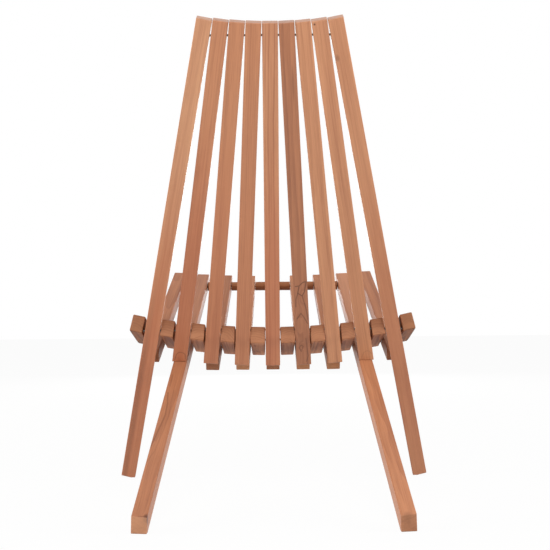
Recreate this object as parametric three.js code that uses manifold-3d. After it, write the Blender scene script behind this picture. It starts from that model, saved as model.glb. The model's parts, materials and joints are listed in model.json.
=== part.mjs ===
import * as THREE from 'three';
import { mergeVertices } from 'three/addons/utils/BufferGeometryUtils.js';
import Module from 'manifold-3d';

// Folding slatted armchair without arms: a comb of back sticks and a comb of seat sticks,
// joined by short link blocks on two hinge rods. Millimetres, Z up, the sitter faces -Y.
// Slots are counted from the middle: slot 0 is the centre line, plus 4 is the sitter's left.
// The combs are dished: an arc height is how far the first slot lies above the middle one, and
// slot n lies n squared times as far above it.

// Comb layout
const outerSlot = 4;
const rearLegSlot = 3;
const pitchAtHinge = 58.1;
const pitchAtTop = 28.7;
const pitchAtSeatFront = 51.8;
const hingeArcHeight = 1.28;
const blockArcHeight = 1.2;
const frontArcHeight = 0.53;

// Back sticks and front legs
const backLean = THREE.MathUtils.degToRad(22);
const backLineHeight = 289;
const backStickWidth = 28;
const backStickDepth = 26;
const backStickReach = 607.5;
const backStickTail = 57.4;
const tailRound = 2.5;
const topRound = 1.5;
const topRodDrop = 23;
const frontFootFlat = 8;
const frontFootSlope = THREE.MathUtils.degToRad(15);

// Seat sticks and rear legs
const seatStickWidth = 26;
const seatStickDepth = 28;
const seatFrontForward = 369.9;
const seatFrontHeight = 396.8;
const rodHeight = 14.5;
const rodArcHeight = 1.16;
const rodHeightMost = 10;
const seatTailSetback = 32.5;
const outerSeatTailSetback = 39.4;
const seatTailRound = 13;
const seatNoseRound = 3;
const frontRodSetback = 40;
const frontRodLift = 2;
const rearFootFlat = 8;
const rearFootTurn = THREE.MathUtils.degToRad(10);
const legStopGap = 0.4;

// Link blocks
const linkFall = THREE.MathUtils.degToRad(12.8);
const linkLength = 112.4;
const blockWidth = 27.8;
const blockNarrowWidth = 1.1;
const blockFrontNarrowWidth = 2.2;
const blockInset = 0.3;
const blockThickness = 32.6;
const blockOverhang = 16.4;
const blockRound = 2.5;

// Rods and spacers
const rodRadius = 2;
const rodClearance = 0.1;
const headRadius = 3.2;
const headThickness = 1.5;
const headGap = 0.3;
const headSetback = 0.8;
const headBite = 0.5;
const spacerRadius = 9.6;
const spacerGap = 1;

// Drawing fineness
const roundSteps = 4;
const circleSteps = 24;

const wasm = await Module();
wasm.setup();

const alongX = new THREE.Vector3(1, 0, 0);
const alongY = new THREE.Vector3(0, 1, 0);
const alongZ = new THREE.Vector3(0, 0, 1);
const backUp = new THREE.Vector3(0, Math.sin(backLean), Math.cos(backLean));
const backRear = new THREE.Vector3(0, Math.cos(backLean), -Math.sin(backLean));
const linkForward = new THREE.Vector3(0, -Math.cos(linkFall), -Math.sin(linkFall));
const linkUp = new THREE.Vector3(0, -Math.sin(linkFall), Math.cos(linkFall));
const blockCount = 2 * outerSlot + 2;
const outerBlockSlot = outerSlot + 0.5;
const innerBlockSlot = 0.5;

// The seat sticks end behind the hinge just short of the back sticks
const seatTail = linkLength - seatTailSetback;
const outerSeatTail = linkLength - outerSeatTailSetback;

// Cutting bodies reach this far, which is past every piece
const cutMargin = backStickReach;

// Where the two hinge rods run: the back rod lies midway between the highest and the lowest block
const middleArc = blockArcHeight * (outerBlockSlot ** 2 + innerBlockSlot ** 2) / 2;
const backRodRise = middleArc * Math.cos(linkFall) / Math.cos(backLean + linkFall);
const backRod = pointOnBack(backRodRise);
const seatRod = backRod.clone().addScaledVector(linkForward, linkLength);

// A point of the back's middle plane, measured up the lean from the back line
function pointOnBack(rise) {
  return new THREE.Vector3(0, 0, backLineHeight).addScaledVector(backUp, rise);
}

// Height up the lean at which a stick has the hinge pitch, and at which it ends
function pitchRise(slot) {
  return hingeArcHeight * Math.cos(backLean) * slot ** 2;
}

function topRise(slot) {
  const sideways = slot * (pitchAtHinge - pitchAtTop);
  return pitchRise(slot) + Math.sqrt(backStickReach ** 2 - sideways ** 2);
}

// How far a stick or block in this slot leans toward the middle
function fanAngle(slot) {
  const sideways = slot * (pitchAtHinge - pitchAtTop);
  return Math.asin(sideways / backStickReach);
}

function toSolid(geometry) {
  const bare = geometry.clone();
  bare.deleteAttribute('normal');
  bare.deleteAttribute('uv');
  const welded = mergeVertices(bare);
  const mesh = new wasm.Mesh({
    numProp: 3,
    vertProperties: new Float32Array(welded.attributes.position.array),
    triVerts: new Uint32Array(welded.index.array),
  });
  return new wasm.Manifold(mesh);
}

function toGeometry(solid) {
  const mesh = solid.getMesh();
  const geometry = new THREE.BufferGeometry();
  geometry.setAttribute('position', new THREE.BufferAttribute(new Float32Array(mesh.vertProperties), 3));
  geometry.setIndex(new THREE.BufferAttribute(new Uint32Array(mesh.triVerts), 1));
  geometry.computeVertexNormals();
  return geometry;
}

// A bar of constant outline: outline points are (along, up), the width runs evenly to both sides
function barGeometry(outline, width) {
  const geometry = new THREE.ExtrudeGeometry(new THREE.Shape(outline), {
    depth: width,
    bevelEnabled: false,
  });
  return geometry.translate(0, 0, -width / 2);
}

function bar(outline, width, frame) {
  return toSolid(barGeometry(outline, width).applyMatrix4(frame));
}

// A bar whose width shrinks evenly along it, from its full width at the back end
function taperedBar(outline, width, frontWidth, frame) {
  const geometry = barGeometry(outline, width);
  geometry.computeBoundingBox();
  const { min, max } = geometry.boundingBox;
  const place = geometry.attributes.position;
  for (let index = 0; index < place.count; index += 1) {
    const share = (place.getX(index) - min.x) / (max.x - min.x);
    place.setZ(index, place.getZ(index) * THREE.MathUtils.lerp(1, frontWidth / width, share));
  }
  return toSolid(geometry.applyMatrix4(frame));
}

// Corner of an outline rounded with a quarter turn, from one direction to the next
function roundedCorner(x, y, radius, startAngle, sweep) {
  const centreX = x - radius * (Math.cos(startAngle) + Math.cos(startAngle + sweep));
  const centreY = y - radius * (Math.sin(startAngle) + Math.sin(startAngle + sweep));
  const points = [];
  for (let step = 0; step <= roundSteps; step += 1) {
    const angle = startAngle + sweep * step / roundSteps;
    const px = centreX + radius * Math.cos(angle);
    const py = centreY + radius * Math.sin(angle);
    points.push(new THREE.Vector2(px, py));
  }
  return points;
}

// Frame whose first axis runs along a bar and whose second axis is its upper or rear side
function barFrame(along, up, origin) {
  const across = new THREE.Vector3().crossVectors(along, up);
  return new THREE.Matrix4().makeBasis(along, up, across).setPosition(origin);
}

// A round bar along X
function roundBar(radius, fromX, toX, centre) {
  const geometry = new THREE.CylinderGeometry(radius, radius, toX - fromX, circleSteps);
  geometry.rotateZ(Math.PI / 2);
  geometry.translate((fromX + toX) / 2, centre.y, centre.z);
  return toSolid(geometry);
}

function drilled(solid, centre) {
  const radius = rodRadius + rodClearance;
  return solid.subtract(roundBar(radius, -cutMargin, cutMargin, centre));
}

// Round pockets for a rod's sunk heads, open to both sides of the chair
function pocketed(solid, centre, headFrom) {
  const radius = headRadius + headGap;
  const left = roundBar(radius, headFrom - headGap, cutMargin, centre);
  const right = roundBar(radius, -cutMargin, headGap - headFrom, centre);
  return solid.subtract(left).subtract(right);
}

// What lies above a plane, whose frame has its second axis upright on it
function above(solid, frame) {
  const geometry = new THREE.BoxGeometry(cutMargin * 4, cutMargin * 4, cutMargin * 4);
  geometry.translate(0, cutMargin * 2, 0);
  return solid.intersect(toSolid(geometry.applyMatrix4(frame)));
}

function onGround(solid) {
  return above(solid, barFrame(alongX, alongZ, new THREE.Vector3()));
}

// Frame of a back stick: along it upward, its rear side second, origin on the back line
function backFrame(slot) {
  const lean = fanAngle(slot);
  const along = backUp.clone().multiplyScalar(Math.cos(lean)).addScaledVector(alongX, -Math.sin(lean));
  const origin = pointOnBack(pitchRise(slot)).setX(slot * pitchAtHinge);
  return barFrame(along, backRear, origin);
}

function topRodCentre() {
  return pointOnBack(topRise(0) - topRodDrop);
}

function backBar(slot, tail) {
  const half = backStickDepth / 2;
  const top = backStickReach;
  const outline = [
    new THREE.Vector2(-tail, -half),
    ...roundedCorner(top, -half, topRound, -Math.PI / 2, Math.PI / 2),
    ...roundedCorner(top, half, topRound, 0, Math.PI / 2),
    ...roundedCorner(-tail, half, tailRound, Math.PI / 2, Math.PI / 2),
  ];
  const stick = bar(outline, backStickWidth, backFrame(slot));
  return drilled(drilled(stick, backRod), topRodCentre());
}

function backStick(slot) {
  return backBar(slot, backStickTail);
}

// Seen from the side, the line of a seat stick: the rod's foot on it and its directions
function seatLine(slot) {
  const drop = Math.min(rodHeight - rodArcHeight * slot ** 2, rodHeightMost);
  const rise = frontArcHeight * slot ** 2;
  const front = new THREE.Vector3(0, -seatFrontForward, seatFrontHeight + rise);
  const toFront = front.clone().sub(seatRod).setX(0);
  const turn = Math.asin(drop / toFront.length());
  const slope = Math.atan2(toFront.z, -toFront.y) + turn;
  const along = new THREE.Vector3(0, -Math.cos(slope), Math.sin(slope));
  const up = new THREE.Vector3(0, Math.sin(slope), Math.cos(slope));
  const foot = seatRod.clone().addScaledVector(up, -drop);
  const length = toFront.length() * Math.cos(turn);
  return { along, up, foot, length, slope };
}

// Frame of a seat stick: along it to the front, its upper side second, origin at the hinge rod
function seatFrame(slot) {
  const line = seatLine(slot);
  const inward = slot * (pitchAtHinge - pitchAtSeatFront);
  const along = line.along.clone().multiplyScalar(line.length).addScaledVector(alongX, -inward);
  along.normalize();
  return barFrame(along, line.up, line.foot.clone().setX(slot * pitchAtHinge));
}

function seatLength(slot) {
  return Math.hypot(seatLine(slot).length, slot * (pitchAtHinge - pitchAtSeatFront));
}

function frontRodCentre() {
  const inner = seatLine(0);
  const outer = seatLine(outerSlot);
  const low = inner.foot.clone().addScaledVector(inner.along, inner.length - frontRodSetback);
  const high = outer.foot.clone().addScaledVector(outer.along, outer.length - frontRodSetback);
  return low.add(high).multiplyScalar(0.5).addScaledVector(inner.up, frontRodLift);
}

function seatOutline(slot, tail, round) {
  const half = seatStickDepth / 2;
  const nose = seatLength(slot);
  return [
    new THREE.Vector2(-tail, -half),
    ...roundedCorner(nose, -half, seatNoseRound, -Math.PI / 2, Math.PI / 2),
    ...roundedCorner(nose, half, seatNoseRound, 0, Math.PI / 2),
    ...roundedCorner(-tail, half, round, Math.PI / 2, Math.PI / 2),
  ];
}

function seatStick(slot) {
  const tail = Math.abs(slot) === outerSlot ? outerSeatTail : seatTail;
  const stick = bar(seatOutline(slot, tail, seatTailRound), seatStickWidth, seatFrame(slot));
  const bored = drilled(drilled(stick, seatRod), frontRodCentre());
  return pocketed(bored, frontRodCentre(), frontHeadFrom());
}

// A rear leg runs on past the hinge to the ground, where it ends in an upright cut that is
// turned a little toward the middle
function rearLeg(slot) {
  const line = seatLine(slot);
  const lowest = line.foot.clone().addScaledVector(line.up, -seatStickDepth / 2);
  const endY = lowest.y + lowest.z / Math.tan(line.slope) + rearFootFlat;
  const outward = slot * (pitchAtHinge - pitchAtSeatFront) / line.length / Math.cos(line.slope);
  const endX = slot * pitchAtHinge + (endY - line.foot.y) * outward;
  const turn = Math.sign(slot) * rearFootTurn;
  const forward = new THREE.Vector3(-Math.sin(turn), -Math.cos(turn), 0);
  const end = barFrame(alongZ, forward, new THREE.Vector3(endX, endY, 0));
  const tail = (endY + cutMargin) / Math.cos(line.slope);
  const stick = bar(seatOutline(slot, tail, seatNoseRound), seatStickWidth, seatFrame(slot));
  const cut = onGround(above(stick, end));
  return drilled(drilled(cut, seatRod), frontRodCentre());
}

// The stick behind a rear leg ends just above the leg's upper face and stops the chair's opening
function stoppedBackStick(slot) {
  const line = seatLine(slot);
  const top = line.foot.clone().addScaledVector(line.up, seatStickDepth / 2 + legStopGap);
  return above(backBar(slot, cutMargin), barFrame(line.along, line.up, top.setX(0)));
}

// A front leg stands on a flat strip along its inner edge, and the rest of its foot slopes up outward
function frontLeg(slot) {
  const side = Math.sign(slot);
  const lean = Math.abs(fanAngle(slot));
  const hinge = pointOnBack(pitchRise(slot));
  const spread = hinge.z / Math.cos(backLean) * Math.tan(lean);
  const inner = Math.abs(slot) * pitchAtHinge + spread - backStickWidth / 2 / Math.cos(lean);
  const sole = new THREE.Vector3(-side * Math.sin(frontFootSlope), 0, Math.cos(frontFootSlope));
  const edge = new THREE.Vector3(side * (inner + frontFootFlat), 0, 0);
  const leg = above(onGround(backBar(slot, cutMargin)), barFrame(alongY, sole, edge));
  return pocketed(leg, topRodCentre(), topHeadFrom());
}

function blockOrigin(slot) {
  const place = slot * pitchAtHinge - Math.sign(slot) * blockInset;
  return new THREE.Vector3(place, 0, backLineHeight + blockArcHeight * slot ** 2);
}

// The blocks farther out are a little narrower, so the fanned sticks clear them as the chair folds
function blockWidthAt(slot) {
  const narrowSlots = Math.min(Math.abs(slot), outerSlot - innerBlockSlot) - innerBlockSlot;
  return blockWidth - blockNarrowWidth * narrowSlots;
}

function hingeBlock(slot) {
  const half = blockThickness / 2;
  const nose = linkLength + blockOverhang;
  const outline = [
    ...roundedCorner(nose, -half, blockRound, -Math.PI / 2, Math.PI / 2),
    ...roundedCorner(nose, half, blockRound, 0, Math.PI / 2),
    ...roundedCorner(-blockOverhang, half, blockRound, Math.PI / 2, Math.PI / 2),
    ...roundedCorner(-blockOverhang, -half, blockRound, Math.PI, Math.PI / 2),
  ];
  const roll = fanAngle(slot);
  const up = linkUp.clone().multiplyScalar(Math.cos(roll)).addScaledVector(alongX, -Math.sin(roll));
  const width = blockWidthAt(slot);
  const frame = barFrame(linkForward, up, blockOrigin(slot));
  const block = taperedBar(outline, width, width - blockFrontNarrowWidth, frame);
  const bored = drilled(drilled(block, backRod), seatRod);
  return pocketed(pocketed(bored, backRod, hingeHeadFrom()), seatRod, hingeHeadFrom());
}

// A rod with a flat round head at each end, sunk in the outermost pieces that it holds together
function headedRod(centre, headFrom) {
  const shaft = roundBar(rodRadius, -headFrom - headBite, headFrom + headBite, centre);
  const left = roundBar(headRadius, headFrom, headFrom + headThickness, centre);
  const right = roundBar(headRadius, -headFrom - headThickness, -headFrom, centre);
  return shaft.add(left).add(right);
}

// How far inside the outer face, at the rod's middle line, a sunk head begins
function headDepth(faceLean) {
  return (headRadius + headGap) * Math.tan(faceLean) + headSetback + headThickness;
}

// Where the heads of a hinge rod begin in the outermost blocks
function hingeHeadFrom() {
  const roll = fanAngle(outerBlockSlot);
  const below = (outerBlockSlot ** 2 - innerBlockSlot ** 2) * blockArcHeight / 2 * Math.cos(linkFall);
  const outerFace = blockOrigin(outerBlockSlot).x + blockWidthAt(outerBlockSlot) / 2 / Math.cos(roll);
  return outerFace + below * Math.tan(roll) - headDepth(roll);
}

function topHeadFrom() {
  const lean = fanAngle(outerSlot);
  const below = topRise(outerSlot) - topRise(0) + topRodDrop;
  const outerFace = outerSlot * pitchAtTop + backStickWidth / 2 / Math.cos(lean);
  return outerFace + below * Math.tan(lean) - headDepth(lean);
}

// Sideways place of a seat stick where the front rod crosses it
function frontRodPlace(slot) {
  const share = 1 - frontRodSetback / seatLine(slot).length;
  return slot * (pitchAtHinge - (pitchAtHinge - pitchAtSeatFront) * share);
}

function frontHeadFrom() {
  const turn = Math.asin(outerSlot * (pitchAtHinge - pitchAtSeatFront) / seatLength(outerSlot));
  return frontRodPlace(outerSlot) + seatStickWidth / 2 / Math.cos(turn) - headDepth(turn);
}

function frontSpacer(slot) {
  const place = (frontRodPlace(slot) + frontRodPlace(slot + 1)) / 2;
  const space = frontRodPlace(slot + 1) - frontRodPlace(slot) - seatStickWidth;
  const half = space / 2 - spacerGap;
  const centre = frontRodCentre();
  const ring = roundBar(spacerRadius, place - half, place + half, centre);
  return drilled(ring, centre);
}

const group = new THREE.Group();
group.name = 'folding_teak_chair';

function addPiece(name, solid, colour, roughness, metalness) {
  const material = new THREE.MeshStandardMaterial({ color: colour, roughness, metalness });
  material.name = name;
  const mesh = new THREE.Mesh(toGeometry(solid), material);
  mesh.name = name;
  group.add(mesh);
}

function addWood(name, solid) {
  addPiece(name, solid, '#b97e58', 0.6, 0);
}

function addSteel(name, solid) {
  addPiece(name, solid, '#9a9a98', 0.35, 1);
}

for (let slot = outerSlot; slot >= -outerSlot; slot -= 1) {
  const number = outerSlot - slot;
  if (Math.abs(slot) === outerSlot) {
    addWood(slot > 0 ? 'front_leg_left' : 'front_leg_right', frontLeg(slot));
  } else if (Math.abs(slot) === rearLegSlot) {
    addWood(`back_stick_${number}`, stoppedBackStick(slot));
  } else {
    addWood(`back_stick_${number}`, backStick(slot));
  }
}

let seatNumber = 1;
for (let slot = outerSlot; slot >= -outerSlot; slot -= 1) {
  if (Math.abs(slot) === rearLegSlot) {
    addWood(slot > 0 ? 'rear_leg_left' : 'rear_leg_right', rearLeg(slot));
  } else {
    addWood(`seat_stick_${seatNumber}`, seatStick(slot));
    seatNumber += 1;
  }
}

for (let index = 0; index < blockCount; index += 1) {
  addWood(`hinge_block_${index + 1}`, hingeBlock(outerBlockSlot - index));
}

for (let index = 0; index < outerSlot * 2; index += 1) {
  addWood(`front_spacer_${index + 1}`, frontSpacer(outerSlot - 1 - index));
}

addSteel('back_hinge_rod', headedRod(backRod, hingeHeadFrom()));
addSteel('seat_hinge_rod', headedRod(seatRod, hingeHeadFrom()));
addSteel('top_rod', headedRod(topRodCentre(), topHeadFrom()));
addSteel('front_rod', headedRod(frontRodCentre(), frontHeadFrom()));

// The origin is the middle of the chair's footprint, on the ground
group.updateMatrixWorld(true);
const bounds = new THREE.Box3().setFromObject(group, true);
const middleY = (bounds.min.y + bounds.max.y) / 2;
group.children.forEach((mesh) => mesh.geometry.translate(0, -middleY, 0));

export default group;
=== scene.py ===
"""Looks of the folding teak lounge chair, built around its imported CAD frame.

The chair is two combs of teak sticks that run through each other. Each stick is dressed from its
CAD node: the edges are eased as by sandpaper, and the grain follows the stick's own length.
"""

import json
import logging
import math
from dataclasses import dataclass, field
from enum import Enum
from typing import Any, Callable, Mapping, Sequence

import bmesh
import bpy
import numpy as np
from mathutils import Matrix, Vector

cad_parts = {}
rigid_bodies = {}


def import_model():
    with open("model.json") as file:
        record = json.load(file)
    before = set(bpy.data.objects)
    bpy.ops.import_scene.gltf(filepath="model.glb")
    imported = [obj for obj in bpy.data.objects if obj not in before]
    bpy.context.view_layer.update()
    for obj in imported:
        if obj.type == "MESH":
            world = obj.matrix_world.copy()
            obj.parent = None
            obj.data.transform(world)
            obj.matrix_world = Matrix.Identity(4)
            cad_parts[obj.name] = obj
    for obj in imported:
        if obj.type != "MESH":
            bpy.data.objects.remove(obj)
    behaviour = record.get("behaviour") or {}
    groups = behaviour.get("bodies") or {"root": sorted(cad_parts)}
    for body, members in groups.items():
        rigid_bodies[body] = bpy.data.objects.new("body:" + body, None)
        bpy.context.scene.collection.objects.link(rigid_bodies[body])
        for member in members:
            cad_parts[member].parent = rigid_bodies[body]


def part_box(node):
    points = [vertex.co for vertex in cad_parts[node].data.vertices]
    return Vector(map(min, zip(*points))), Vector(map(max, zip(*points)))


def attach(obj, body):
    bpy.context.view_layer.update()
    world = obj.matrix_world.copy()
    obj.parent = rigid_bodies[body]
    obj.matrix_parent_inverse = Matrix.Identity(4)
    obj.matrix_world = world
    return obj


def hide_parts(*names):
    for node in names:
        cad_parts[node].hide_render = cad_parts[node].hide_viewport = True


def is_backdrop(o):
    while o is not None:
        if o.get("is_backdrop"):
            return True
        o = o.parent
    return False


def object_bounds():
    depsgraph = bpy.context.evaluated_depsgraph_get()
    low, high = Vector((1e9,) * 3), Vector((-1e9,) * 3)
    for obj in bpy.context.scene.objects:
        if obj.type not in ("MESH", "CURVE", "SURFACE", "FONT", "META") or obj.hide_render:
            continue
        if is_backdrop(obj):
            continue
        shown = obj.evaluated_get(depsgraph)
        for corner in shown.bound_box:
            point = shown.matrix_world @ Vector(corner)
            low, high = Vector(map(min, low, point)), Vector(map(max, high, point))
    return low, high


LOG = logging.getLogger("teak_chair")
MM = 0.001
# Attributes of each wooden mesh: the place on the stick, and how far a face shows end grain
GRAIN_PLACE = "grain_place"
END_GRAIN = "end_grain"
# A face shows end grain as it turns toward the stick's length, from this share on and over this span
END_GRAIN_START = 0.25
END_GRAIN_SPAN = 0.6
# Pixels across the photograph
IMAGE_WIDTH = 550
# A stick's long faces slant less than this from its length
LONG_FACE_SLANT = 0.02
# How much more a face's direction counts than its area when the main face is chosen
FACE_HINT_POWER = 4
# The dark brown heart of a knot in teak, also used for dark lines of figure and for painted shadow lines
KNOT_AND_SHADOW_BROWN = "542b18"


def linear(hex_colour: str) -> tuple[float, float, float, float]:
    """Turns an sRGB hex colour into linear light.

    Args:
        hex_colour: Six hex digits, such as "c98a5e".

    Returns:
        Linear red, green and blue, and an alpha of 1.
    """
    channels = []
    for start in (0, 2, 4):
        share = int(hex_colour[start:start + 2], 16) / 255
        channels.append(share / 12.92 if share <= 0.04045 else ((share + 0.055) / 1.055) ** 2.4)
    return (channels[0], channels[1], channels[2], 1.0)


def add_node(
    tree: bpy.types.NodeTree,
    kind: str,
    settings: Mapping[str, Any] | None = None,
    inputs: Mapping[Any, Any] | None = None,
) -> bpy.types.Node:
    """Adds one shader node with its settings, values and links.

    Args:
        tree: The node tree that takes the node.
        kind: The node's type name.
        settings: Properties of the node itself.
        inputs: For an input's name or number, an output socket to link or a value to set.

    Returns:
        The new node.
    """
    node = tree.nodes.new(kind)
    for name, value in (settings or {}).items():
        setattr(node, name, value)
    for key, value in (inputs or {}).items():
        if isinstance(value, bpy.types.NodeSocket):
            tree.links.new(value, node.inputs[key])
        else:
            node.inputs[key].default_value = value
    return node


def deselect_all() -> None:
    """Leaves object mode with nothing selected."""
    if bpy.context.object is not None and bpy.context.object.mode != "OBJECT":
        bpy.ops.object.mode_set(mode="OBJECT")
    bpy.ops.object.select_all(action="DESELECT")


def make_active(piece: bpy.types.Object) -> None:
    """Selects one object alone and makes it the active one."""
    deselect_all()
    piece.select_set(True)
    bpy.context.view_layer.objects.active = piece


def select_edges(piece: bpy.types.Object, wanted: Callable[[bmesh.types.BMEdge], bool]) -> int:
    """Selects the edges of a mesh in edit mode that pass a test, and nothing else.

    Args:
        piece: The object, already in edit mode.
        wanted: Says for an edge whether it is selected.

    Returns:
        How many edges were selected.
    """
    mesh = bmesh.from_edit_mesh(piece.data)
    bpy.ops.mesh.select_mode(type="EDGE")
    bpy.ops.mesh.select_all(action="DESELECT")
    mesh.edges.ensure_lookup_table()
    count = 0
    for edge in mesh.edges:
        if wanted(edge):
            edge.select_set(True)
            count += 1
    mesh.select_flush_mode()
    bmesh.update_edit_mesh(piece.data)
    return count


@dataclass(frozen=True)
class StickAxes:
    """The own directions of a stick or block, from which its grain is laid out."""

    origin: Vector
    along: Vector
    face: Vector

    @property
    def across(self) -> Vector:
        """The direction to the right for a viewer of the face, with the stick upright."""
        return self.along.cross(self.face)


def measure_axes(mesh: bpy.types.Mesh, origin: Vector, along_hint: Vector, face_hint: Vector) -> StickAxes:
    """Finds how a straight stick lies from its own longest edge and largest faces.

    Args:
        mesh: The stick's merged mesh.
        origin: Where the grain is counted from.
        along_hint: Roughly the direction of the stick's length.
        face_hint: Roughly the direction in which its main face looks.

    Returns:
        The stick's axes, at right angles to each other.
    """
    longest = max(mesh.edges, key=lambda edge: edge_vector(mesh, edge).length)
    along = edge_vector(mesh, longest).normalized()
    if along.dot(along_hint) < 0:
        along.negate()
    facing = [face for face in mesh.polygons if abs(face.normal.dot(along)) < LONG_FACE_SLANT]
    main = max(facing, key=lambda face: face.area * max(face.normal.dot(face_hint), 0) ** FACE_HINT_POWER)
    face = (main.normal - along * main.normal.dot(along)).normalized()
    return StickAxes(origin, along, face)


def edge_vector(mesh: bpy.types.Mesh, edge: bpy.types.MeshEdge) -> Vector:
    """The vector from an edge's first end to its second."""
    return mesh.vertices[edge.vertices[1]].co - mesh.vertices[edge.vertices[0]].co


class TeakTone(Enum):
    """Oiled teak as it comes in one batch: each board has one of these heartwood colours."""

    HONEY = ("cb946e", "a3694a")
    AMBER = ("c48963", "985e40")
    CHESTNUT = ("bb7e59", "8e5539")
    RUSSET = ("af7350", "7e4b34")
    WALNUT = ("98613f", "683f2a")

    @property
    def early(self) -> tuple[float, float, float, float]:
        """Colour of the wide pale part of a growth ring."""
        return linear(self.value[0])

    @property
    def late(self) -> tuple[float, float, float, float]:
        """Colour of the narrow dark line that ends a growth ring."""
        return linear(self.value[1])


@dataclass(frozen=True)
class KnotOrShade:
    """A knot, a dark mark or a broad patch of painted shade: its place on the stick and its size, in
    millimetres.

    Its darkness says how far its shade covers the wood in its middle, and the growth rings swell
    round it by as many rings as its swell says.
    """

    along: float
    across: float
    depth: float
    length: float
    width: float
    darkness: float = 0.7
    swell: float = 0.0
    shade: str = KNOT_AND_SHADOW_BROWN


@dataclass(frozen=True)
class VeinOrShadowLine:
    """A thin dark line on a stick's face, through points along and across in millimetres: wild figure or a
    painted shadow line.
    """

    points: tuple[tuple[float, float], ...]
    depth: float = 13.0
    width: float = 1.7
    darkness: float = 0.5
    shade: str = KNOT_AND_SHADOW_BROWN


@dataclass(frozen=True)
class Board:
    """How one board lay in the tree and how it was coloured.

    The growth rings run round a pith line beside the board, so that straight grain, cathedral
    figure and the arcs on the end grain all come from the same rings. The pith's place, the ring's
    width and its wander are in millimetres, and its tilt is in degrees.
    """

    tone: TeakTone
    pith_across: float = 20.0
    pith_depth: float = 90.0
    tilt: float = 0.0
    ring: float = 3.2
    contrast: float = 0.45
    wander: float = 2.0
    seed: float = 0.0
    knots_and_shades: tuple[KnotOrShade, ...] = ()
    veins_and_shadow_lines: tuple[VeinOrShadowLine, ...] = ()
    end: str = "9c6a4c"
    gloss: float = 1.0


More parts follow.
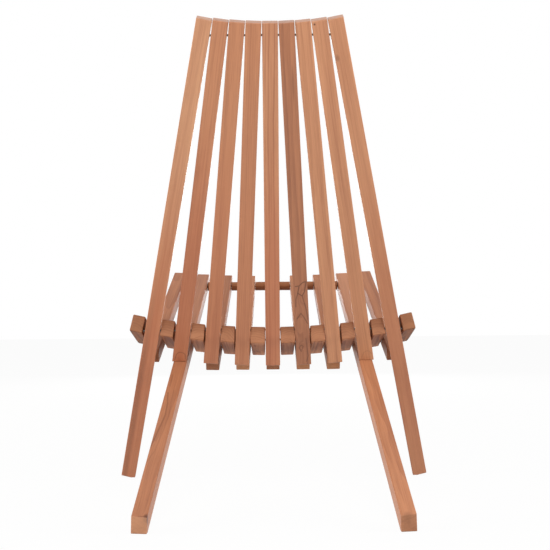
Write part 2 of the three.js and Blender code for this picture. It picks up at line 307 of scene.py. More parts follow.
class OiledTeak:
    """Oiled teak, planed and sanded: satin, warm brown, with fine dark lines along the grain."""

    ior = 1.5
    specular = 0.5
    smooth_roughness = 0.36
    sawn_roughness = 0.62
    # Open pores are rougher than the oiled wood between them
    pore_roughness = (-0.06, 0.08)
    # Sanding leaves the late wood of a ring standing about 0.05 mm above the early wood
    raised_grain = 0.05
    raised_share = 0.22
    # The dark lines lie half as deep as the pores
    line_depth = -0.5
    # A board's seed moves its noise this far along, across and through the stick, in metres
    seed_shift = (1.0, 0.37, 0.61)
    # Waves to the metre along, across and through the stick: rings wander over 250 × 30 mm
    ring_waves = (4.0, 34.0, 34.0)
    # Noise strays about a quarter of its span to each side, so a board's wander is taken four times
    noise_span = 4.0
    # Teak's pores are 0.2 mm wide; they are drawn about 1 mm wide, so that they show in the photo's view
    pore_waves = (14.0, 900.0, 900.0)
    # Broad light and dark bands are about 17 mm wide and 330 mm long
    band_waves = (3.0, 60.0, 60.0)
    # The part of each noise that shows, and how much it lightens and darkens the wood
    band_span = {1: 0.3, 2: 0.7, 3: -0.15, 4: 0.35}
    pore_span = {1: 0.35, 2: 0.7, 3: -0.12, 4: 0.3}
    # The dark line comes on slowly through a ring and stops short at the next one
    line_start = 0.15
    line_end = 0.95
    # Some years leave a strong line and others hardly any
    weakest_year = 0.1
    # Sawn ends drink more oil, which covers this share of the wood's own colour
    end_cover = 0.55
    # A knot or patch of painted shade is full from a fifth of its reach inward and gone a tenth past it
    patch_full = 0.2
    patch_gone = 1.1
    # A vein or painted shadow line fades into the wood slowly, so depth counts for less
    dark_line_depth_share = 0.3

    def __init__(self, board: Board) -> None:
        """Keeps the board whose look is drawn."""
        self.board = board

    def build(self, name: str) -> bpy.types.Material:
        """Makes the material for one board.

        Args:
            name: The material's name.

        Returns:
            The material.
        """
        board = self.board
        material = bpy.data.materials.new(name)
        material.use_nodes = True
        tree = material.node_tree
        tree.nodes.clear()
        place = add_node(tree, "ShaderNodeAttribute", {"attribute_name": GRAIN_PLACE}).outputs["Vector"]
        shifted = add_node(tree, "ShaderNodeVectorMath", {"operation": "ADD"},
                           {0: place, 1: [board.seed * share for share in self.seed_shift]}).outputs[0]
        rings = self._rings(tree, place, shifted)
        fibres = self._fibres(tree, shifted)
        broad = self._broad(tree, shifted)
        colour = self._colour(tree, rings, fibres, broad, place)
        roughness = self.sawn_roughness + (self.smooth_roughness - self.sawn_roughness) * board.gloss
        rough = add_node(tree, "ShaderNodeMapRange", None,
                         {0: fibres, 3: roughness + self.pore_roughness[0],
                          4: roughness + self.pore_roughness[1]}).outputs[0]
        height = add_node(tree, "ShaderNodeMath", {"operation": "MULTIPLY_ADD"},
                          {0: rings, 1: self.line_depth, 2: fibres}).outputs[0]
        bump = add_node(tree, "ShaderNodeBump", None,
                        {"Strength": self.raised_share, "Distance": self.raised_grain * MM,
                         "Height": height}).outputs[0]
        shader = add_node(tree, "ShaderNodeBsdfPrincipled", None,
                          {"Base Color": colour, "Roughness": rough, "IOR": self.ior,
                           "Specular IOR Level": self.specular * board.gloss, "Normal": bump})
        add_node(tree, "ShaderNodeOutputMaterial", None, {"Surface": shader.outputs[0]})
        return material

    def _rings(self, tree: bpy.types.NodeTree, place: bpy.types.NodeSocket,
               shifted: bpy.types.NodeSocket) -> bpy.types.NodeSocket:
        """Draws the growth rings.

        Args:
            tree: The material's node tree.
            place: Place on the stick.
            shifted: The same place, moved so that no two boards share their noise.

        Returns:
            0 in the pale wood and 1 on the dark line that ends a ring.
        """
        board = self.board
        stretched = add_node(tree, "ShaderNodeVectorMath", {"operation": "MULTIPLY"},
                             {0: shifted, 1: self.ring_waves}).outputs[0]
        wander = add_node(tree, "ShaderNodeTexNoise", None,
                          {"Vector": stretched, "Scale": 1.0, "Detail": 2.0}).outputs["Color"]
        centred = add_node(tree, "ShaderNodeVectorMath", {"operation": "SUBTRACT"},
                           {0: wander, 1: (0.5, 0.5, 0.5)}).outputs[0]
        reach = self.noise_span * board.wander * MM
        bent = add_node(tree, "ShaderNodeVectorMath", {"operation": "MULTIPLY_ADD"},
                        {0: centred, 1: (0, reach, reach), 2: place}).outputs[0]
        turned = add_node(tree, "ShaderNodeMapping", None,
                          {"Vector": bent, "Location": (0, board.pith_across * MM, board.pith_depth * MM),
                           "Rotation": (0, math.radians(board.tilt), 0)}).outputs[0]
        flat = add_node(tree, "ShaderNodeVectorMath", {"operation": "MULTIPLY"},
                        {0: turned, 1: (0, 1, 1)}).outputs[0]
        radius = add_node(tree, "ShaderNodeVectorMath", {"operation": "LENGTH"}, {0: flat}).outputs["Value"]
        count = add_node(tree, "ShaderNodeMath", {"operation": "DIVIDE"},
                         {0: radius, 1: board.ring * MM}).outputs[0]
        for knot_or_shade in board.knots_and_shades:
            if knot_or_shade.swell:
                near = self._near(tree, place, knot_or_shade, knot_or_shade.swell)
                count = add_node(tree, "ShaderNodeMath", {"operation": "ADD"}, {0: count, 1: near}).outputs[0]
        share = add_node(tree, "ShaderNodeMath", {"operation": "FRACT"}, {0: count}).outputs[0]
        line = add_node(tree, "ShaderNodeMapRange", {"interpolation_type": "SMOOTHSTEP"},
                        {0: share, 1: self.line_start, 2: self.line_end}).outputs[0]
        year = add_node(tree, "ShaderNodeMath", {"operation": "FLOOR"}, {0: count}).outputs[0]
        luck = add_node(tree, "ShaderNodeTexWhiteNoise", {"noise_dimensions": "1D"},
                        {"W": year}).outputs["Value"]
        strength = add_node(tree, "ShaderNodeMapRange", None,
                            {0: luck, 3: self.weakest_year, 4: 1.0}).outputs[0]
        return add_node(tree, "ShaderNodeMath", {"operation": "MULTIPLY"}, {0: line, 1: strength}).outputs[0]

    def _fibres(self, tree: bpy.types.NodeTree, shifted: bpy.types.NodeSocket) -> bpy.types.NodeSocket:
        """Draws fine lines along the grain.

        Args:
            tree: The material's node tree.
            shifted: Place on the stick, moved for this board.

        Returns:
            0 to 1 across the fibres.
        """
        stretched = add_node(tree, "ShaderNodeVectorMath", {"operation": "MULTIPLY"},
                             {0: shifted, 1: self.pore_waves}).outputs[0]
        return add_node(tree, "ShaderNodeTexNoise", None,
                        {"Vector": stretched, "Scale": 1.0, "Detail": 3.0, "Roughness": 0.6}).outputs[0]

    def _broad(self, tree: bpy.types.NodeTree, shifted: bpy.types.NodeSocket) -> bpy.types.NodeSocket:
        """Draws broad light and dark bands along the board.

        Args:
            tree: The material's node tree.
            shifted: Place on the stick, moved for this board.

        Returns:
            0 to 1 from light to dark.
        """
        stretched = add_node(tree, "ShaderNodeVectorMath", {"operation": "MULTIPLY"},
                             {0: shifted, 1: self.band_waves}).outputs[0]
        return add_node(tree, "ShaderNodeTexNoise", None,
                        {"Vector": stretched, "Scale": 1.0, "Detail": 3.0}).outputs[0]

    def _colour(self, tree: bpy.types.NodeTree, rings: bpy.types.NodeSocket, fibres: bpy.types.NodeSocket,
                broad: bpy.types.NodeSocket, place: bpy.types.NodeSocket) -> bpy.types.NodeSocket:
        """Mixes the board's colours.

        Args:
            tree: The material's node tree.
            rings: The dark lines of the growth rings.
            fibres: The fine lines.
            broad: The broad bands.
            place: Place on the stick, for the knots and the patches of painted shade.

        Returns:
            The colour at each point.
        """
        board = self.board
        lines = add_node(tree, "ShaderNodeMath", {"operation": "MULTIPLY"},
                         {0: rings, 1: board.contrast}).outputs[0]
        bands = add_node(tree, "ShaderNodeMapRange", None, {0: broad, **self.band_span}).outputs[0]
        fine = add_node(tree, "ShaderNodeMapRange", None, {0: fibres, **self.pore_span}).outputs[0]
        both = add_node(tree, "ShaderNodeMath", {"operation": "ADD"}, {0: lines, 1: bands}).outputs[0]
        dark = add_node(tree, "ShaderNodeMath", {"operation": "ADD", "use_clamp": True},
                        {0: both, 1: fine}).outputs[0]
        colour = add_node(tree, "ShaderNodeMix", {"data_type": "RGBA"},
                          {0: dark, 6: board.tone.early, 7: board.tone.late}).outputs[2]
        for knot_or_shade in board.knots_and_shades:
            colour = self._draw_knot_or_shade(tree, colour, place, knot_or_shade)
        for vein_or_shadow_line in board.veins_and_shadow_lines:
            colour = self._draw_vein_or_shadow_line(tree, colour, place, vein_or_shadow_line)
        end = add_node(tree, "ShaderNodeAttribute", {"attribute_name": END_GRAIN}).outputs["Fac"]
        amount = add_node(tree, "ShaderNodeMath", {"operation": "MULTIPLY"},
                          {0: end, 1: self.end_cover}).outputs[0]
        return add_node(tree, "ShaderNodeMix", {"data_type": "RGBA"},
                        {0: amount, 6: colour, 7: linear(board.end)}).outputs[2]

    def _near(self, tree: bpy.types.NodeTree, place: bpy.types.NodeSocket, knot_or_shade: KnotOrShade,
              height: float) -> bpy.types.NodeSocket:
        """Measures how near a point is to a knot or a patch of painted shade.

        Args:
            tree: The material's node tree.
            place: Place on the stick.
            knot_or_shade: The knot or patch of painted shade.
            height: The value in the middle of the knot or patch of painted shade.

        Returns:
            The height in the middle, falling softly to 0 at its edge.
        """
        centre = add_node(tree, "ShaderNodeVectorMath", {"operation": "SUBTRACT"},
                          {0: place, 1: (knot_or_shade.along * MM, knot_or_shade.across * MM, knot_or_shade.depth * MM)}).outputs[0]
        radii = (knot_or_shade.length / 2 * MM, knot_or_shade.width / 2 * MM, knot_or_shade.width * MM)
        squeezed = add_node(tree, "ShaderNodeVectorMath", {"operation": "DIVIDE"},
                            {0: centre, 1: radii}).outputs[0]
        reach = add_node(tree, "ShaderNodeVectorMath", {"operation": "LENGTH"},
                         {0: squeezed}).outputs["Value"]
        return add_node(tree, "ShaderNodeMapRange", {"interpolation_type": "SMOOTHSTEP"},
                        {0: reach, 1: self.patch_gone, 2: self.patch_full, 3: 0.0, 4: height}).outputs[0]

    def _draw_knot_or_shade(self, tree: bpy.types.NodeTree, colour: bpy.types.NodeSocket, place: bpy.types.NodeSocket,
              knot_or_shade: KnotOrShade) -> bpy.types.NodeSocket:
        """Darkens the wood round one knot, or paints one patch of shade.

        Args:
            tree: The material's node tree.
            colour: The colour so far.
            place: Place on the stick.
            knot_or_shade: The knot or patch of painted shade.

        Returns:
            The colour with the knot or painted shade.
        """
        inside = self._near(tree, place, knot_or_shade, knot_or_shade.darkness)
        return add_node(tree, "ShaderNodeMix", {"data_type": "RGBA"},
                        {0: inside, 6: colour, 7: linear(knot_or_shade.shade)}).outputs[2]

    def _draw_vein_or_shadow_line(self, tree: bpy.types.NodeTree, colour: bpy.types.NodeSocket, place: bpy.types.NodeSocket,
              vein_or_shadow_line: VeinOrShadowLine) -> bpy.types.NodeSocket:
        """Draws one thin dark line: wild figure, or a painted shadow line.

        Args:
            tree: The material's node tree.
            colour: The colour so far.
            place: Place on the stick.
            vein_or_shadow_line: The line.

        Returns:
            The colour with the line.
        """
        nearest = None
        for start, end in zip(vein_or_shadow_line.points, vein_or_shadow_line.points[1:]):
            step = Vector((end[0] - start[0], end[1] - start[1], 0.0)) * MM
            centre = add_node(tree, "ShaderNodeVectorMath", {"operation": "SUBTRACT"},
                              {0: place, 1: (start[0] * MM, start[1] * MM, vein_or_shadow_line.depth * MM)}).outputs[0]
            flat = add_node(tree, "ShaderNodeVectorMath", {"operation": "MULTIPLY"},
                            {0: centre, 1: (1, 1, self.dark_line_depth_share)}).outputs[0]
            passed = add_node(tree, "ShaderNodeVectorMath", {"operation": "DOT_PRODUCT"},
                              {0: flat, 1: step / step.length_squared}).outputs["Value"]
            share = add_node(tree, "ShaderNodeClamp", None, {0: passed}).outputs[0]
            foot = add_node(tree, "ShaderNodeVectorMath", {"operation": "SCALE"},
                            {0: step, "Scale": share}).outputs[0]
            apart = add_node(tree, "ShaderNodeVectorMath", {"operation": "DISTANCE"},
                             {0: flat, 1: foot}).outputs["Value"]
            if nearest is not None:
                apart = add_node(tree, "ShaderNodeMath", {"operation": "MINIMUM"},
                                 {0: nearest, 1: apart}).outputs[0]
            nearest = apart
        inside = add_node(tree, "ShaderNodeMapRange", {"interpolation_type": "SMOOTHSTEP"},
                          {0: nearest, 1: vein_or_shadow_line.width * MM, 2: self.patch_full * vein_or_shadow_line.width * MM, 3: 0.0,
                           4: vein_or_shadow_line.darkness}).outputs[0]
        return add_node(tree, "ShaderNodeMix", {"data_type": "RGBA"},
                        {0: inside, 6: colour, 7: linear(vein_or_shadow_line.shade)}).outputs[2]


@dataclass(frozen=True)
class GalvanisedSteel:
    """Zinc-coated steel wire, drawn and dulled by weather: grey, with a soft broad shine."""

    colour: str = "6c6c68"
    roughness: float = 0.5
    # Zinc spangle is a few millimetres across
    spangle_waves: float = 300.0
    spangle_roughness: tuple[float, float] = (-0.08, 0.1)

    def build(self, name: str) -> bpy.types.Material:
        """Makes the material.

        Args:
            name: The material's name.

        Returns:
            The material.
        """
        material = bpy.data.materials.new(name)
        material.use_nodes = True
        tree = material.node_tree
        tree.nodes.clear()
        place = add_node(tree, "ShaderNodeTexCoord").outputs["Object"]
        spangle = add_node(tree, "ShaderNodeTexNoise", None,
                           {"Vector": place, "Scale": self.spangle_waves, "Detail": 2.0}).outputs[0]
        rough = add_node(tree, "ShaderNodeMapRange", None,
                         {0: spangle, 3: self.roughness + self.spangle_roughness[0],
                          4: self.roughness + self.spangle_roughness[1]}).outputs[0]
        shader = add_node(tree, "ShaderNodeBsdfPrincipled", None,
                          {"Base Color": linear(self.colour), "Metallic": 1.0, "Roughness": rough})
        add_node(tree, "ShaderNodeOutputMaterial", None, {"Surface": shader.outputs[0]})
        return material


@dataclass
class TeakPiece:
    """One wooden piece, dressed from its CAD node. Lengths are in millimetres and turns in degrees."""

    node: str
    body: str
    board: Board
    along_hint: Vector
    face_hint: Vector
    ease: float = 1.4
    ease_steps: int = 3
    # Edges nearer than this to a rod's middle are the rim of its hole
    hole_reach: float = 4.5
    # The CAD mesh is joined at its doubles, freed of slivers and made whole on its flat faces
    merge_reach: float = 0.03
    sliver_reach: float = 0.05
    flat_turn: float = 2.0
    # Faces that turn more than this meet at an edge
    edge_turn: float = 35.0

    def build(self, rods: Sequence[Vector]) -> bpy.types.Object:
        """Makes the piece with eased edges, its grain and its finish.

        Args:
            rods: Points on the rods, all of which run along X.

        Returns:
            The finished piece.
        """
        source = bpy.data.objects[self.node]
        piece = bpy.data.objects.new(f"teak_{self.node}", source.data.copy())
        bpy.context.scene.collection.objects.link(piece)
        piece.data.materials.clear()
        make_active(piece)
        bpy.ops.object.mode_set(mode="EDIT")
        bpy.ops.mesh.select_all(action="SELECT")
        bpy.ops.mesh.remove_doubles(threshold=self.merge_reach * MM)
        bpy.ops.mesh.dissolve_degenerate(threshold=self.sliver_reach * MM)
        bpy.ops.mesh.dissolve_limited(angle_limit=math.radians(self.flat_turn))
        self._ease_edges(piece, rods)
        bpy.ops.object.mode_set(mode="OBJECT")
        low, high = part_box(self.node)
        axes = measure_axes(piece.data, (low + high) / 2, self.along_hint, self.face_hint)
        self._smooth(piece)
        lay_grain(piece, axes)
        piece.data.materials.append(OiledTeak(self.board).build(f"oiled_teak_{self.node}"))
        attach(piece, self.body)
        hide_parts(self.node)
        return piece

    def _ease_edges(self, piece: bpy.types.Object, rods: Sequence[Vector]) -> None:
        """Rounds the outer edges over, and leaves the rims of the rod holes.

        Args:
            piece: The piece, in edit mode.
            rods: Points on the rods.
        """

        def outer(edge: bmesh.types.BMEdge) -> bool:
            """Says whether an edge is sharp and away from the rod holes."""
            if len(edge.link_faces) != 2 or edge.calc_face_angle() < math.radians(self.edge_turn):
                return False
            middle = (edge.verts[0].co + edge.verts[1].co) / 2
            return all((middle - rod).yz.length > self.hole_reach * MM for rod in rods)

        if select_edges(piece, outer):
            bpy.ops.mesh.bevel(offset=self.ease * MM, segments=self.ease_steps, affect="EDGES",
                               loop_slide=False)

    def _smooth(self, piece: bpy.types.Object) -> None:
        """Shades the eased edges round and keeps the planed faces flat."""
        make_active(piece)
        bpy.ops.object.shade_smooth_by_angle(angle=math.radians(self.edge_turn))
        weighted = piece.modifiers.new("planed_faces", "WEIGHTED_NORMAL")
        weighted.keep_sharp = True
        bpy.ops.object.modifier_apply(modifier=weighted.name)


def lay_grain(piece: bpy.types.Object, axes: StickAxes) -> None:
    """Stores where each point lies on its stick, and which faces are end grain.

    Args:
        piece: The piece, in object mode.
        axes: The stick's own directions.
    """
    mesh = piece.data
    corners = np.array([vertex.co for vertex in mesh.vertices], float) - np.array(axes.origin)
    basis = np.array([axes.along, axes.across, axes.face], float)
    places = (corners @ basis.T).astype(np.float32)
    place = mesh.attributes.new(GRAIN_PLACE, "FLOAT_VECTOR", "POINT")
    place.data.foreach_set("vector", places.ravel())
    end = mesh.attributes.new(END_GRAIN, "FLOAT", "FACE")
    turned = [abs(face.normal.dot(axes.along)) for face in mesh.polygons]
    shares = [min(max((turn - END_GRAIN_START) / END_GRAIN_SPAN, 0.0), 1.0) for turn in turned]
    end.data.foreach_set("value", shares)


@dataclass
class BackComb:
    """The fan of back sticks, of which the outer two are the front legs."""

    body: str = "back_comb"
    ease: float = 0.9
    boards: dict[str, Board] = field(default_factory=lambda: {
        "front_leg_left": Board(
            TeakTone.HONEY, pith_across=34, pith_depth=70, tilt=0.2, ring=4.0, contrast=0.3, wander=2.0,
            seed=1.0,
            knots_and_shades=(
                # Painted shade with the board's own redder colour: the leg darker and redder towards its foot
                KnotOrShade(along=-300, across=0, depth=14, length=1100, width=90, darkness=0.54, shade="a85028"),
                KnotOrShade(along=-330, across=-7, depth=14, length=700, width=18, darkness=0.36),
                KnotOrShade(along=-330, across=8, depth=14, length=420, width=16, darkness=0.1),
            )),
        "back_stick_1": Board(
            TeakTone.CHESTNUT, pith_across=50, pith_depth=60, tilt=-0.3, ring=3.0, contrast=0.25, wander=1.5,
            seed=2.0,
            knots_and_shades=(
                # Painted shade: a broad patch that makes the lower stick darker and redder, where less light
                # falls
                KnotOrShade(along=-200, across=0, depth=13, length=800, width=70, darkness=0.36, shade="a04828"),
            ),
            veins_and_shadow_lines=(
                # Painted shadow line: a dark arc across the stick's lower end, where it meets the wood behind
                # it
                VeinOrShadowLine(points=((-331, -9), (-319, -7), (-314, -3), (-313, 1), (-314, 6), (-317, 10), (-329, 13)),
                     width=1.3, darkness=0.5),
            )),
        "back_stick_2": Board(
            TeakTone.CHESTNUT, pith_across=-25, pith_depth=90, tilt=0.2, ring=3.6, contrast=0.2, wander=2.0,
            seed=3.0,
            knots_and_shades=(
                # Painted shade: a broad patch that makes the lower stick darker and redder, where less light
                # falls
                KnotOrShade(along=-200, across=0, depth=13, length=800, width=70, darkness=0.24, shade="a04828"),
            )),
        "back_stick_3": Board(
            TeakTone.CHESTNUT, pith_across=60, pith_depth=40, tilt=0.1, ring=3.0, contrast=0.3, wander=1.2,
            seed=4.0,
            knots_and_shades=(
                # Painted shade: a broad patch that makes the lower stick darker and redder, where less light
                # falls
                KnotOrShade(along=-200, across=0, depth=13, length=800, width=70, darkness=0.12, shade="a04828"),
            )),
        "back_stick_4": Board(
            TeakTone.AMBER, pith_across=70, pith_depth=30, tilt=0.5, ring=4.4, contrast=0.6, wander=2.2,
            seed=5.0,
            knots_and_shades=(
                # Painted shade: a broad patch that makes the lower stick darker and redder, where less light
                # falls
                KnotOrShade(along=-200, across=0, depth=13, length=700, width=70, darkness=0.44, shade="a04828"),
            )),
        "back_stick_5": Board(
            TeakTone.RUSSET, pith_across=34, pith_depth=26, tilt=0.3, ring=6.0, contrast=0.45, wander=2.0,
            seed=6.0,
            knots_and_shades=(
                KnotOrShade(along=222, across=6, depth=13, length=90, width=7, darkness=0.35),
                KnotOrShade(along=-188, across=2, depth=13, length=46, width=20, darkness=0.1, swell=1.2),
                KnotOrShade(along=-248, across=-8, depth=13, length=60, width=22, darkness=0.05, swell=1.0),
                KnotOrShade(along=-291, across=-3, depth=13, length=22, width=16, darkness=0.2, swell=0.8),
            ),
            veins_and_shadow_lines=(
                VeinOrShadowLine(points=((-166, -9), (-165, -2), (-158, 6), (-157, 12), (-177, 8), (-186, 3), (-180, -5),
                             (-165, -2)),
                     darkness=0.75),
                VeinOrShadowLine(points=((-180, -5), (-192, -9), (-208, -10)), darkness=0.6),
                VeinOrShadowLine(points=((-186, 3), (-211, 9), (-237, 12)), darkness=0.6),
                VeinOrShadowLine(points=((-233, -9), (-222, -1), (-228, 3), (-244, 11)), darkness=0.6),
                VeinOrShadowLine(points=((-303, -4), (-295, -8), (-289, -4), (-292, 0), (-300, -3)), darkness=0.5),
                VeinOrShadowLine(points=((-275, 6), (-292, 7), (-313, 9), (-325, 5)), darkness=0.45),
            )),
        "back_stick_6": Board(
            TeakTone.AMBER, pith_across=40, pith_depth=55, tilt=0.4, ring=4.2, contrast=0.3, wander=2.0,
            seed=7.0),
        "back_stick_7": Board(
            TeakTone.AMBER, pith_across=-50, pith_depth=60, tilt=0.3, ring=3.4, contrast=0.2, wander=1.8,
            seed=8.0,
            knots_and_shades=(
                KnotOrShade(along=325.6, across=-9.4, depth=13, length=5, width=5, darkness=0.95),
            ),
            veins_and_shadow_lines=(
                # Painted shadow line: a faint dark arc across the stick's lower end, where it meets the wood
                # behind it
                VeinOrShadowLine(points=((-327, -9), (-317, -4), (-314, 2), (-315, 7), (-321, 11)),
                     width=1.2, darkness=0.25),
            )),
        "front_leg_right": Board(
            TeakTone.AMBER, pith_across=-40, pith_depth=70, tilt=0.4, ring=4.0, contrast=0.25, wander=2.4,
            seed=9.0,
            knots_and_shades=(
                KnotOrShade(along=400, across=-11, depth=14, length=16, width=12, darkness=0.4, swell=0.8),
                # Painted shade with the board's own redder colour: the leg darker and redder towards its foot
                KnotOrShade(along=-200, across=0, depth=14, length=900, width=70, darkness=0.4, shade="944a2c"),
            )),
    })

    def build(self, rods: Sequence[Vector]) -> None:
        """Dresses each stick of the back.

        Args:
            rods: Points on the rods.
        """
        for node, board in self.boards.items():
            piece = TeakPiece(node, self.body, board, Vector((0, 0, 1)), Vector((0, 1, 0)), ease=self.ease)
            piece.build(rods)
            LOG.info("back stick %s: %s", node, board.tone.name)


@dataclass
class SeatComb:
    """The fan of seat sticks, of which two are the rear legs, and the spacers between them."""

    body: str = "seat_comb"
    boards: dict[str, Board] = field(default_factory=lambda: {
        "seat_stick_1": Board(
            TeakTone.RUSSET, pith_across=6, pith_depth=24, tilt=1.4, ring=4.5, contrast=0.5, wander=3.5,
            seed=11.0, gloss=0.5),
        "rear_leg_left": Board(
            TeakTone.RUSSET, pith_across=12, pith_depth=40, tilt=1.1, ring=6.0, contrast=0.4, wander=3.0,
            seed=12.0, end="c99471", gloss=0.7,
            knots_and_shades=(
                KnotOrShade(along=-443, across=12, depth=14, length=19, width=15, darkness=0.85, swell=1.0),
                KnotOrShade(along=-444, across=11, depth=7, length=11, width=10, darkness=0.8),
                KnotOrShade(along=-443, across=3, depth=14, length=6, width=14, darkness=0.35),
            ),
            veins_and_shadow_lines=(
                VeinOrShadowLine(points=((-68, -7), (-104, -3), (-145, -1), (-185, -5), (-223, -9), (-248, -13)),
                     depth=16, width=2.2, darkness=0.42),
                VeinOrShadowLine(points=((-60, 3), (-104, 3), (-150, 6), (-200, 2), (-260, -3), (-300, -13)),
                     depth=16, width=2.0, darkness=0.22),
            )),
        "seat_stick_2": Board(
            TeakTone.RUSSET, pith_across=50, pith_depth=50, tilt=0.2, ring=3.4, contrast=0.3, wander=2.0,
            seed=13.0, gloss=0.5),
        "seat_stick_3": Board(
            TeakTone.CHESTNUT, pith_across=40, pith_depth=50, tilt=0.1, ring=3.4, contrast=0.3, wander=2.0,
            seed=14.0, end="c48e66", gloss=0.5),
        "seat_stick_4": Board(
            TeakTone.RUSSET, pith_across=50, pith_depth=40, tilt=0.2, ring=3.0, contrast=0.3, wander=2.0,
            seed=15.0, gloss=0.5),
        "seat_stick_5": Board(
            TeakTone.CHESTNUT, pith_across=-30, pith_depth=50, tilt=0.3, ring=3.6, contrast=0.3, wander=2.0,
            seed=16.0, end="c48e66", gloss=0.5),
        "seat_stick_6": Board(
            TeakTone.RUSSET, pith_across=-50, pith_depth=40, tilt=0.2, ring=3.4, contrast=0.3, wander=2.0,
            seed=17.0, end="c48e66", gloss=0.5),
        "rear_leg_right": Board(
            TeakTone.CHESTNUT, pith_across=-20, pith_depth=50, tilt=0.8, ring=5.0, contrast=0.4, wander=3.0,
            seed=18.0, end="9a6a4c", gloss=0.7,
            knots_and_shades=(
                KnotOrShade(along=-445, across=-2, depth=16, length=22, width=18, darkness=0.35),
                KnotOrShade(along=-462, across=0, depth=4, length=40, width=9, darkness=0.6),
            )),
        "seat_stick_7": Board(
            TeakTone.RUSSET, pith_across=-30, pith_depth=60, tilt=0.2, ring=4.0, contrast=0.3, wander=2.0,
            seed=19.0, gloss=0.5),
    })
    spacer_count: int = 8
    spacer_ease: float = 0.8
    spacer_board: Board = Board(
        TeakTone.WALNUT, pith_across=20, pith_depth=30, tilt=0.2, ring=3.0, contrast=0.4, wander=1.0,
        seed=20.0, gloss=0.35)

    def build(self, rods: Sequence[Vector]) -> None:
        """Dresses each stick of the seat, and the spacers.

        Args:
            rods: Points on the rods.
        """
        for node, board in self.boards.items():
            piece = TeakPiece(node, self.body, board, Vector((0, -1, 0)), Vector((0, 0.3, 1)))
            piece.build(rods)
            LOG.info("seat stick %s: %s", node, board.tone.name)
        for number in range(1, self.spacer_count + 1):
            node = f"front_spacer_{number}"
            piece = TeakPiece(node, self.body, self.spacer_board, Vector((-1, 0, 0)), Vector((0, 0, 1)),
                              ease=self.spacer_ease)
            piece.build(rods)
            LOG.info("front spacer %s: %s", node, self.spacer_board.tone.name)


@dataclass
class LinkRow:
    """The row of short link blocks between and outside the sticks."""

    body: str = "link_blocks"
    ease: float = 2.0
    first_seed: float = 30.0
    tones: tuple[TeakTone, ...] = (
        TeakTone.WALNUT, TeakTone.RUSSET, TeakTone.CHESTNUT, TeakTone.RUSSET, TeakTone.CHESTNUT,
        TeakTone.RUSSET, TeakTone.CHESTNUT, TeakTone.RUSSET, TeakTone.RUSSET, TeakTone.WALNUT)

    def board(self, number: int, tone: TeakTone) -> Board:
        """Picks the board of one block, so that neighbours come from different places in the log.

        Args:
            number: The block's number in the row, from 1.
            tone: The block's heartwood colour.

        Returns:
            The board.
        """
        return Board(
            tone, pith_across=10.0 - 5.0 * (number % 4), pith_depth=24.0 + 4.0 * (number % 3), tilt=1.0,
            ring=4.5, contrast=0.7, wander=4.0, seed=self.first_seed + number, end="a07054", gloss=0.2)

    def build(self, rods: Sequence[Vector]) -> None:
        """Dresses each block.

        Args:
            rods: Points on the rods.
        """
        for number, tone in enumerate(self.tones, start=1):
            node = f"hinge_block_{number}"
            board = self.board(number, tone)
            piece = TeakPiece(node, self.body, board, Vector((0, -1, 0)), Vector((0, 0, 1)), ease=self.ease)
            piece.build(rods)
            LOG.info("link block %s: %s", node, tone.name)


@dataclass
class Rods:
    """The four steel rods that hold the combs and blocks together."""

    nodes: tuple[str, ...] = ("back_hinge_rod", "seat_hinge_rod", "top_rod", "front_rod")

    def build(self) -> None:
        """Gives each rod its finish."""
        steel = GalvanisedSteel().build("galvanised_steel_rod")
        for node in self.nodes:
            rod = bpy.data.objects[node]
            rod.data.materials.clear()
            rod.data.materials.append(steel)
            LOG.info("rod %s", node)

    def centres(self) -> list[Vector]:
        """Middle points of the rods, from the CAD frame."""
        boxes = [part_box(node) for node in self.nodes]
        return [(low + high) / 2 for low, high in boxes]


@dataclass(frozen=True)
class SoftBox:
    """A round soft lamp: its name, its place and width in metres, and its power in watts."""

    name: str
    place: tuple[float, float, float]
    size: float
    power: float


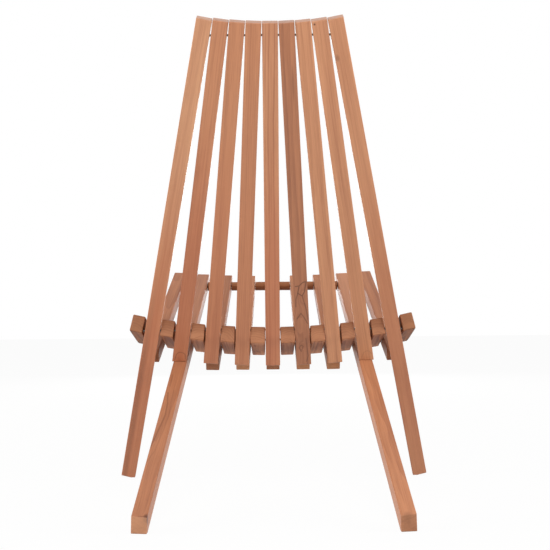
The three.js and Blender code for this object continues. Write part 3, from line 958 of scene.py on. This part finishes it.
@dataclass
class Studio:
    """White seamless studio with large soft lamps and the photograph's camera."""

    # The camera as fitted to the photo: its place in metres and its turns in degrees
    camera_place: Vector = field(default_factory=lambda: Vector((-0.0030, 2.26944, 0.39808)))
    pitch: float = -0.26
    yaw: float = -0.06
    roll: float = -0.49
    focal_pixels: float = 1181.7
    floor_size: float = 12.0
    floor_colour: str = "dcdcda"
    # How much of the floor the camera sees as plain white; the rest keeps the chair's soft shadow
    floor_glow: float = 0.95
    world_light: float = 0.4
    lamp_aim: Vector = field(default_factory=lambda: Vector((0, 0, 0.4)))
    lamps: tuple[SoftBox, ...] = (
        SoftBox("camera_soft_box", (0.0, 1.6, 1.9), 1.6, 26.0),
        SoftBox("left_soft_box", (2.8, 0.6, 1.0), 1.8, 54.0),
        SoftBox("right_soft_box", (-2.8, 0.6, 1.0), 1.8, 54.0),
        SoftBox("front_soft_box", (0.0, -2.6, 0.9), 1.6, 30.0),
    )

    def build(self) -> None:
        """Builds the floor, the lamps, the world and the camera."""
        self._floor()
        self._lamps()
        self._world()
        self._camera()

    def _floor(self) -> None:
        """Lays a pale floor that the camera sees as white, with the chair's soft shadow on it."""
        deselect_all()
        bpy.ops.mesh.primitive_plane_add(size=self.floor_size, location=(0, 0, 0))
        floor = bpy.context.object
        floor.name = "studio_floor"
        material = bpy.data.materials.new("painted_studio_floor")
        material.use_nodes = True
        tree = material.node_tree
        tree.nodes.clear()
        ray = add_node(tree, "ShaderNodeLightPath")
        seen = add_node(tree, "ShaderNodeMath", {"operation": "MAXIMUM"},
                        {0: ray.outputs["Is Camera Ray"], 1: ray.outputs["Is Glossy Ray"]}).outputs[0]
        share = add_node(tree, "ShaderNodeMath", {"operation": "MULTIPLY"},
                         {0: seen, 1: self.floor_glow}).outputs[0]
        paint = add_node(tree, "ShaderNodeBsdfDiffuse", None, {"Color": linear(self.floor_colour)})
        white = add_node(tree, "ShaderNodeEmission", None, {"Color": (1, 1, 1, 1), "Strength": 1.0})
        both = add_node(tree, "ShaderNodeMixShader", None,
                        {0: share, 1: paint.outputs[0], 2: white.outputs[0]})
        add_node(tree, "ShaderNodeOutputMaterial", None, {"Surface": both.outputs[0]})
        floor.data.materials.append(material)
        floor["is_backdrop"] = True

    def _lamps(self) -> None:
        """Hangs the soft boxes: one above the camera, one on each hand, and one before the chair."""
        for box in self.lamps:
            deselect_all()
            bpy.ops.object.light_add(type="AREA", location=box.place)
            lamp = bpy.context.object
            lamp.name = box.name
            lamp.visible_camera = False
            lamp.data.shape = "DISK"
            lamp.data.size = box.size
            lamp.data.energy = box.power
            lamp.rotation_mode = "QUATERNION"
            lamp.rotation_quaternion = (Vector(box.place) - self.lamp_aim).to_track_quat("Z", "Y")

    def _world(self) -> None:
        """Makes the world white to the eye and in reflections, and a plain soft light otherwise."""
        world = bpy.data.worlds.new("white_cove")
        bpy.context.scene.world = world
        world.use_nodes = True
        tree = world.node_tree
        tree.nodes.clear()
        ray = add_node(tree, "ShaderNodeLightPath")
        seen = add_node(tree, "ShaderNodeMath", {"operation": "MAXIMUM"},
                        {0: ray.outputs["Is Camera Ray"], 1: ray.outputs["Is Glossy Ray"]}).outputs[0]
        both = add_node(tree, "ShaderNodeMath", {"operation": "MAXIMUM"},
                        {0: seen, 1: ray.outputs["Is Transmission Ray"]}).outputs[0]
        strength = add_node(tree, "ShaderNodeMapRange", None,
                            {0: both, 3: self.world_light, 4: 1.0}).outputs[0]
        light = add_node(tree, "ShaderNodeBackground", None, {"Color": (1, 1, 1, 1), "Strength": strength})
        add_node(tree, "ShaderNodeOutputWorld", None, {"Surface": light.outputs[0]})

    def _camera(self) -> None:
        """Sets up the camera as fitted to the photograph's stick edges."""
        deselect_all()
        bpy.ops.object.camera_add(location=self.camera_place)
        camera = bpy.context.object
        camera.name = "photo_camera"
        camera.data.sensor_width = 36.0
        camera.data.lens = self.focal_pixels / IMAGE_WIDTH * camera.data.sensor_width
        camera.data.clip_end = 50.0
        pitch, yaw, roll = (math.radians(angle) for angle in (self.pitch, self.yaw, self.roll))
        forward = Vector((math.sin(yaw) * math.cos(pitch), -math.cos(yaw) * math.cos(pitch),
                          -math.sin(pitch)))
        level = forward.cross(Vector((0, 0, 1))).normalized()
        upright = level.cross(forward)
        right = level * math.cos(roll) + upright * math.sin(roll)
        top = upright * math.cos(roll) - level * math.sin(roll)
        turn = Matrix((right, top, -forward)).transposed()
        camera.rotation_mode = "QUATERNION"
        camera.rotation_quaternion = turn.to_quaternion()
        bpy.context.scene.camera = camera


def note_size(sizes: dict[str, list[list[float]]], name: str) -> None:
    """Keeps the shown object's box under a name."""
    low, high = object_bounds()
    sizes[name] = [list(low), list(high)]


def main() -> None:
    """Builds the chair's looks in order."""
    logging.basicConfig(level=logging.INFO, format="%(name)s: %(message)s")
    for stray in list(bpy.data.objects):
        bpy.data.objects.remove(stray)
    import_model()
    sizes: dict[str, list[list[float]]] = {}
    note_size(sizes, "cad_box")
    bpy.context.scene.view_settings.view_transform = "Standard"
    rods = Rods()
    centres = rods.centres()
    rods.build()
    BackComb().build(centres)
    SeatComb().build(centres)
    LinkRow().build(centres)
    Studio().build()
    note_size(sizes, "visual_box")


if __name__ == "__main__":
    main()
